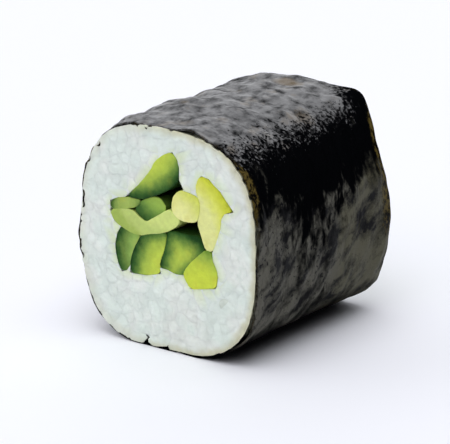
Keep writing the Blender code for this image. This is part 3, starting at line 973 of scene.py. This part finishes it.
@dataclass
class RiceGrains:
    """The rice: its own core, and the pressed grains that show at both cuts, in mm.

    nicks are places on the shown cut, with a radius, where the rim lacks rice. profile gives a
    grain's depth, share of its outline and inset, ring by ring. spacings gives each pass of the
    scatter: the cut, the number of tries and how far apart the middle lines stay. An outline
    grows from first_reach to longest_reach by steps of march, grains further apart than twice
    neighbours don't meet, and probe is the rice that a middle line needs round its ends.
    """

    form: RollForm
    finish: RiceFinish
    sides: int = 18
    first_reach: float = 0.2
    longest_reach: float = 2.4
    march: float = 0.04
    foot_pull: float = 1.6
    easing: float = 0.25
    neighbours: float = 2.8
    probe: float = 0.5
    probe_from: float = 1.2
    probe_depth: float = 7.0
    rim_share: float = 0.8
    sheet_inset: float = 0.4
    far_inset: float = 0.65
    overhang: float = 0.26
    overhang_across: Span = (5.0, -2.0)
    nicks: tuple[Triple, ...] = (
        (-15.3, 35.2, 0.65), (-17.35, 31.8, 0.6), (-18.75, 24.6, 0.6), (-19.0, 22.8, 0.5),
        (-19.1, 15.6, 0.6), (-18.9, 14.0, 0.6), (-9.8, 0.75, 0.45), (-4.6, 0.3, 0.6),
        (1.75, 0.1, 0.5))
    clear_places: tuple[Span, ...] = ((13.7, 10.3),)
    clear_tone: float = 2.0
    halo_reach: float = 1.7
    behind_cut: float = 0.008
    unevenness: float = 0.008
    tilt: float = 0.003
    crease: float = math.radians(50.0)
    core_tone: float = 0.4
    core_behind: float = 0.024
    core_trim: float = 0.62
    core_slack: float = 0.3
    core_flare: float = 0.18
    core_rim: float = 0.85
    flare_depth: float = 0.5
    seed: int = 5
    profile: tuple[Triple, ...] = (
        (0.0, 1.0, 0.07), (0.012, 1.0, 0.0), (0.3, 1.0, 0.0), (0.95, 0.74, 0.0),
        (1.35, 0.34, 0.0))
    spacings: tuple[tuple[GrainCut, int, float], ...] = (
        (GrainCut.LENGTHWISE, 1500, 2.35), (GrainCut.SLANTED, 4000, 2.15),
        (GrainCut.ACROSS, 6000, 1.95), (GrainCut.ACROSS, 6000, 1.45))

    def model_pebble(self) -> bpy.types.Object:
        """Models a round pebble, ring by ring, to be reshaped into each grain.

        Returns:
            The pebble, cut face up, with one ring of points for each step of the profile.
        """
        deselect_all()
        bpy.ops.mesh.primitive_circle_add(vertices=self.sides, radius=1.0, fill_type="NGON")
        pebble = bpy.context.object
        with editing():
            for _ in self.profile[1:]:
                bpy.ops.mesh.extrude_region_move(
                    TRANSFORM_OT_translate={"value": (0.0, 0.0, -1.0)})
            bpy.ops.mesh.select_all(action="SELECT")
            bpy.ops.mesh.normals_make_consistent(inside=False)
        return pebble

    def surface_test(self, side: float) -> Callable[[Vector], bool]:
        """Makes the test of where one cut shows rice.

        Args:
            side: -1 for the shown cut and 1 for the far one.

        Returns:
            The test, of a point of the cut plane in mm.
        """
        rice = surface_of("rice")
        face = side * self.form.half_length

        def on_rice(spot: Vector) -> bool:
            """Whether there is rice at a point, or it hangs over the sheet's edge there.

            Args:
                spot: The point of the cut plane, in mm.

            Returns:
                True where a grain may grow.
            """
            start = Vector((spot.x, face * self.probe_from, spot.y)) * MM
            way = Vector((0.0, -side, 0.0))
            if rice.ray_cast(start, way, self.probe_depth * MM)[0] is not None:
                return True
            if side < 0 and any(
                    (spot - Vector((x, z))).length < radius for x, z, radius in self.nicks):
                return False
            height = spot.y - self.form.axis_height
            edge = self.form.wall(math.atan2(height, spot.x), face, 0.0)
            outer = math.hypot(edge.x, edge.z - self.form.axis_height)
            left = smooth_step(*self.overhang_across, spot.x)
            inset = self.sheet_inset if side < 0 else self.far_inset
            inset -= (inset - self.overhang) * left
            return self.rim_share * outer < math.hypot(spot.x, height) < outer - inset

        return on_rice

    def scatter(
        self, chance: random.Random, on_rice: Callable[[Vector], bool]
    ) -> list[CutGrain]:
        """Spreads the grains' middle lines over one cut, the longest first.

        Args:
            chance: The source of random numbers.
            on_rice: The test of where rice shows.

        Returns:
            The grains.
        """
        shifts = [Vector(way) * self.probe for way in ((1, 0), (-1, 0), (0, 1), (0, -1))]
        grains: list[CutGrain] = []
        for cut, tries, spacing in self.spacings:
            for _ in range(tries):
                turn = chance.uniform(0.0, math.pi)
                grain = CutGrain(
                    Vector((chance.uniform(-0.5, 0.5) * self.form.width,
                            chance.uniform(0.0, self.form.height))),
                    Vector((math.cos(turn), math.sin(turn))), cut.value)
                near = [other for other in grains
                        if (other.centre - grain.centre).length < spacing + self.neighbours]
                if any(other.gap_to(spot) < spacing for other in near for spot in grain.spots()):
                    continue
                if all(on_rice(end + shift) for end in grain.spots(2) for shift in shifts):
                    grains.append(grain)
        return grains

    def outline(
        self, grain: CutGrain, grains: Sequence[CutGrain], on_rice: Callable[[Vector], bool]
    ) -> list[tuple[Vector, Vector, float]]:
        """Grows one grain's outline until it meets its neighbours or the rice ends.

        Args:
            grain: The grain.
            grains: All grains of this cut.
            on_rice: The test of where rice shows.

        Returns:
            A foot on the middle line, a direction and a length for each side.
        """
        near = [other for other in grains
                if other is not grain
                and (other.centre - grain.centre).length < 2.0 * self.neighbours]
        rays = []
        across = Vector((-grain.along.y, grain.along.x))
        for side in range(self.sides):
            turn = math.tau * side / self.sides
            share = max(-1.0, min(1.0, self.foot_pull * math.cos(turn)))
            foot = grain.centre + grain.along * grain.half_line * share
            way = grain.along * math.cos(turn) + across * math.sin(turn)
            length = self.first_reach
            while length < self.longest_reach:
                spot = foot + way * (length + self.march)
                own = grain.gap_to(spot)
                if not on_rice(spot) or any(other.gap_to(spot) < own for other in near):
                    break
                length += self.march
            rays.append((foot, way, length))
        eased = []
        share, rest = self.easing, 1.0 - 2.0 * self.easing
        for index, (foot, way, length) in enumerate(rays):
            before, after = rays[index - 1][2], rays[(index + 1) % self.sides][2]
            eased.append((foot, way, min(length, share * before + rest * length + share * after)))
        return eased

    def build(self, side: float, name: str) -> bpy.types.Object:
        """Packs grains over one cut of the rice and joins them.

        Args:
            side: -1 for the shown cut and 1 for the far one.
            name: The joined piece's name.

        Returns:
            The joined grains.
        """
        chance = random.Random(self.seed + int(side))
        on_rice = self.surface_test(side)
        pebble = self.model_pebble()
        grains = self.scatter(chance, on_rice)
        clears = [min(grains, key=lambda grain: (grain.centre - Vector(place)).length)
                  for place in self.clear_places]
        made: list[bpy.types.Object] = []
        for grain in grains:
            rays = self.outline(grain, grains, on_rice)
            piece = pebble.copy()
            piece.data = pebble.data.copy()
            level = self.form.half_length - self.behind_cut
            level -= abs(chance.gauss(0.0, self.unevenness))
            tilt = Vector((chance.gauss(0.0, self.tilt), chance.gauss(0.0, self.tilt)))
            for vert in piece.data.vertices:
                depth, share, inset = self.profile[round(-vert.co.z)]
                turn = math.atan2(vert.co.y, vert.co.x)
                foot, way, length = rays[round(turn / math.tau * self.sides) % self.sides]
                spot = grain.centre + (foot + way * (length - inset) - grain.centre) * share
                lift = tilt.dot(spot - grain.centre)
                vert.co = Vector((spot.x, side * (level - depth + lift), spot.y)) * MM
            if side > 0:
                piece.data.flip_normals()
            tone = chance.random()
            if side < 0 and any(grain is clear for clear in clears):
                tone = self.clear_tone
            put_attribute(piece.data, "tone", lambda _, value=tone: value)
            bpy.context.scene.collection.objects.link(piece)
            made.append(piece)
        bpy.data.objects.remove(pebble, do_unlink=True)
        deselect_all()
        for piece in made:
            piece.select_set(True)
        bpy.context.view_layer.objects.active = made[0]
        bpy.ops.object.join()
        joined = bpy.context.object
        bpy.ops.object.shade_smooth_by_angle(angle=self.crease)
        joined.name = name
        self.stain(joined.data)
        joined.data.materials.append(self.finish.make(self.form))
        LOG.info("%s has %d grains", name, len(grains))
        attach(joined, "root")
        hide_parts("rice")
        return joined

    def stain(self, mesh: bpy.types.Mesh) -> None:
        """Marks the points that the cucumber has stained.

        Args:
            mesh: The joined grains.
        """
        sticks = [surface_of(node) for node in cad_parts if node.startswith("cucumber_")]
        reach = self.halo_reach * MM

        def near(tree: BVHTree, spot: Vector) -> float:
            """1 at a stick's surface, falling to 0 at the halo's reach."""
            found = tree.find_nearest(spot, reach)
            return 1.0 - found[3] / reach if found[0] is not None else 0.0

        put_attribute(mesh, "halo", lambda spot: max(near(tree, spot) for tree in sticks))

    def build_core(self) -> bpy.types.Object:
        """Cuts the block of rice flat, just behind its grains.

        Returns:
            The core.
        """
        core = merged_copy("rice", "rice_core")
        end = (self.form.half_length - self.core_trim) * MM
        deselect_all()
        bpy.ops.mesh.primitive_cube_add(size=2.0, scale=(4.0 * end, end, 4.0 * end))
        block = bpy.context.object
        make_active(core)
        apply_modifier(core, "BOOLEAN", operation="INTERSECT", object=block)
        bpy.data.objects.remove(block, do_unlink=True)
        with editing():
            for side in (-1.0, 1.0):
                bpy.ops.mesh.select_all(action="SELECT")
                bpy.ops.mesh.bisect(
                    plane_co=(0.0, side * (end - self.flare_depth * MM), 0.0),
                    plane_no=(0.0, side, 0.0), use_fill=False)
        face = (self.form.half_length - self.core_behind) * MM
        centre = Vector((0.0, 0.0, self.form.axis_height * MM))
        for vert in core.data.vertices:
            at_cut = abs(vert.co.y) > end - SAME_POINT
            if at_cut:
                vert.co.y = math.copysign(face, vert.co.y)
            arm = Vector((vert.co.x, 0.0, vert.co.z)) - centre
            outer = self.form.section_radius(math.atan2(arm.z, arm.x)) * MM
            if arm.length > self.core_rim * outer:
                shift = self.core_flare if at_cut and vert.co.y < 0 else -self.core_slack
                vert.co += arm.normalized() * shift * MM
        for name, value in (("tone", self.core_tone), ("halo", 0.0)):
            put_attribute(core.data, name, lambda _, value=value: value)
        core.data.materials.append(self.finish.make(self.form))
        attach(core, "root")
        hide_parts("rice")
        return core


@dataclass(frozen=True)
class SoftLight:
    """A soft light far away: a round patch of the surroundings that glows.

    It is full up to inner degrees from its middle and fades out at outer degrees.
    """

    towards: Triple
    inner: float
    outer: float
    strength: float


@dataclass
class Studio:
    """The pale ground, the soft surroundings and the camera at the photograph's angle."""

    azimuth: float = 36.175
    elevation: float = 17.95
    distance: float = 525.86
    target: Triple = (-2.255, 0.0, 17.639)
    lens: float = 240.0
    sensor: float = 36.0
    nearest: float = 0.01
    ground_size: float = 6.0
    dim: float = 0.012
    tint: Colour = (0.965, 0.975, 1.0)
    lights: tuple[SoftLight, ...] = (
        SoftLight((0.10, -0.06, 0.99), 14.0, 36.0, 2.4),
        SoftLight((0.10, -0.62, 0.78), 14.0, 36.0, 1.8),
        SoftLight((-0.56, 0.77, 0.31), 22.0, 46.0, 1.2),
        SoftLight((0.30, 0.60, 0.74), 12.0, 28.0, 0.5),
        SoftLight((-0.55, -0.80, 0.25), 20.0, 50.0, 0.35),
        SoftLight((-0.86, -0.20, 0.46), 14.0, 42.0, 0.9),
    )

    def build_camera(self) -> bpy.types.Object:
        """Places the camera.

        Returns:
            The camera.
        """
        a, e = math.radians(self.azimuth), math.radians(self.elevation)
        back = Vector((math.sin(a) * math.cos(e), -math.cos(a) * math.cos(e), math.sin(e)))
        lens = bpy.data.cameras.new("camera")
        lens.lens = self.lens
        lens.sensor_width = self.sensor
        lens.clip_start = self.nearest
        camera = bpy.data.objects.new("camera", lens)
        camera.location = (Vector(self.target) + back * self.distance) * MM
        camera.rotation_mode = "QUATERNION"
        camera.rotation_quaternion = (-back).to_track_quat("-Z", "Y")
        bpy.context.scene.collection.objects.link(camera)
        bpy.context.scene.camera = camera
        return camera

    def build_ground(self) -> bpy.types.Object:
        """Lays the pale ground.

        Returns:
            The ground.
        """
        deselect_all()
        bpy.ops.mesh.primitive_plane_add(size=self.ground_size)
        ground = bpy.context.object
        ground.name = "ground"
        ground.data.materials.append(GroundFinish().make())
        return ground

    def build_surroundings(self) -> bpy.types.World:
        """Makes dim surroundings with the soft lights in them.

        Returns:
            The world.
        """
        world = bpy.data.worlds.new("surroundings")
        bpy.context.scene.world = world
        world.use_nodes = True
        graph = Graph(world.node_tree)
        direction = graph.node("ShaderNodeTexCoord", output="Generated")
        total = None
        for light in self.lights:
            towards = Vector(light.towards).normalized()
            facing = graph.node(
                "ShaderNodeVectorMath", {"operation": "DOT_PRODUCT"},
                {0: direction, 1: towards}, "Value")
            low, high = math.cos(math.radians(light.outer)), math.cos(math.radians(light.inner))
            glow = facing.rise(low, high) * light.strength
            total = glow + self.dim if total is None else total + glow
        sky = world.node_tree.nodes["Background"]
        sky.inputs["Color"].default_value = (*self.tint, 1.0)
        world.node_tree.links.new(total.socket, sky.inputs["Strength"])
        return world


STICKS = (
    CucumberStick("cucumber_top_wedge", CucumberFinish(
        "wedge_flesh", (SkinArc(-7.8, 39.5, 13.3),))),
    CucumberStick("cucumber_left_sliver", CucumberFinish(
        "sliver_flesh", (SkinArc(17.8, 24.1, 30.0), SkinArc(-35.0, 25.0, 30.0)), (
            (0.0, (0.030, 0.080, 0.015)), (0.8, (0.110, 0.200, 0.040)),
            (1.8, (0.300, 0.420, 0.095)), (3.4, (0.380, 0.500, 0.115))))),
    CucumberStick("cucumber_middle_nub", CucumberFinish(
        "nub_flesh", (SkinArc(1.2, 33.0, 12.0),), (
            (0.0, (0.035, 0.100, 0.020)), (1.0, (0.060, 0.150, 0.030)),
            (2.2, (0.150, 0.280, 0.052)), (3.6, (0.290, 0.450, 0.080)),
            (5.0, (0.330, 0.490, 0.085))))),
    CucumberStick("cucumber_pale_bow", CucumberFinish(
        "bow_flesh", (SkinArc(-1.0, 29.6, 11.2),), (
            (0.0, (0.380, 0.500, 0.110)), (1.0, (0.500, 0.610, 0.175)),
            (2.4, (0.510, 0.630, 0.185)), (4.0, (0.640, 0.740, 0.235))),
        side=(0.20, 0.28, 0.05), side_shade_share=0.6), "cucumber_flesh"),
    CucumberStick("cucumber_core_lobe", CucumberFinish(
        "lobe_flesh", (SkinArc(1.0, 22.5, 8.3),), (
            (0.0, (0.640, 0.690, 0.095)), (1.5, (0.700, 0.740, 0.190)),
            (3.2, (0.820, 0.835, 0.330)), (5.0, (0.840, 0.850, 0.350))),
        side=(0.40, 0.45, 0.08), side_shade_share=0.5), "cucumber_core"),
    CucumberStick("cucumber_core_spike", CucumberFinish(
        "spike_flesh", (SkinArc(2.0, 22.0, 13.1),), (
            (0.0, (0.340, 0.380, 0.020)), (1.3, (0.640, 0.680, 0.060)),
            (3.0, (0.730, 0.765, 0.145)), (5.0, (0.780, 0.800, 0.320))),
        side=(0.62, 0.66, 0.12), side_shade_share=0.4), "cucumber_core"),
    CucumberStick("cucumber_skin_left", CucumberFinish(
        "left_flesh", (SkinArc(-3.1, 16.6, 8.1),), (
            (0.0, (0.012, 0.050, 0.010)), (0.9, (0.045, 0.120, 0.024)),
            (1.9, (0.150, 0.250, 0.052)), (3.2, (0.270, 0.425, 0.095)),
            (5.0, (0.400, 0.540, 0.110))))),
    CucumberStick("cucumber_skin_middle", CucumberFinish(
        "middle_flesh", (SkinArc(6.2, 11.7, 14.2), SkinArc(14.4, -36.8, 60.9)))),
    # The right stick's second circle darkens its top edge like skin, and paints the shade of the
    # hollow above it.
    CucumberStick("cucumber_skin_right", CucumberFinish(
        "right_flesh", (
            SkinArc(57.5, 4.65, 60.0), SkinArc(1.0, 9.5, 12.6), SkinArc(-39.5, 56.45, 61.2)))),
    CucumberStick("cucumber_corner", CucumberFinish(
        "corner_flesh", (SkinArc(7.0, 11.0, 9.2),), (
            (0.0, (0.120, 0.240, 0.030)), (1.5, (0.330, 0.470, 0.070)),
            (3.0, (0.520, 0.640, 0.072)), (5.0, (0.600, 0.700, 0.070))),
        side=(0.42, 0.52, 0.06), side_shade_share=0.4), "cucumber_flesh"),
)


def report(piece: bpy.types.Object) -> None:
    """Logs a finished piece and its number of faces."""
    LOG.info("%s: %d faces", piece.name, len(piece.data.polygons))


def main() -> None:
    """Builds the camera, the roll's pieces and the studio, and reports each."""
    logging.basicConfig(level=logging.INFO, format="%(message)s")
    form = RollForm()
    studio = Studio()
    LOG.info("%s: placed", studio.build_camera().name)
    report(SeaweedSheet(form, SeaweedFinish()).build())
    for stick in STICKS:
        report(stick.build(form))
    rice = RiceGrains(form, RiceFinish())
    report(rice.build_core())
    report(rice.build(-1.0, "rice_shown_cut"))
    report(rice.build(1.0, "rice_far_cut"))
    report(studio.build_ground())
    LOG.info("%s: %d lights", studio.build_surroundings().name, len(studio.lights))
    bpy.context.scene.view_settings.view_transform = "Standard"


if __name__ == "__main__":
    main()
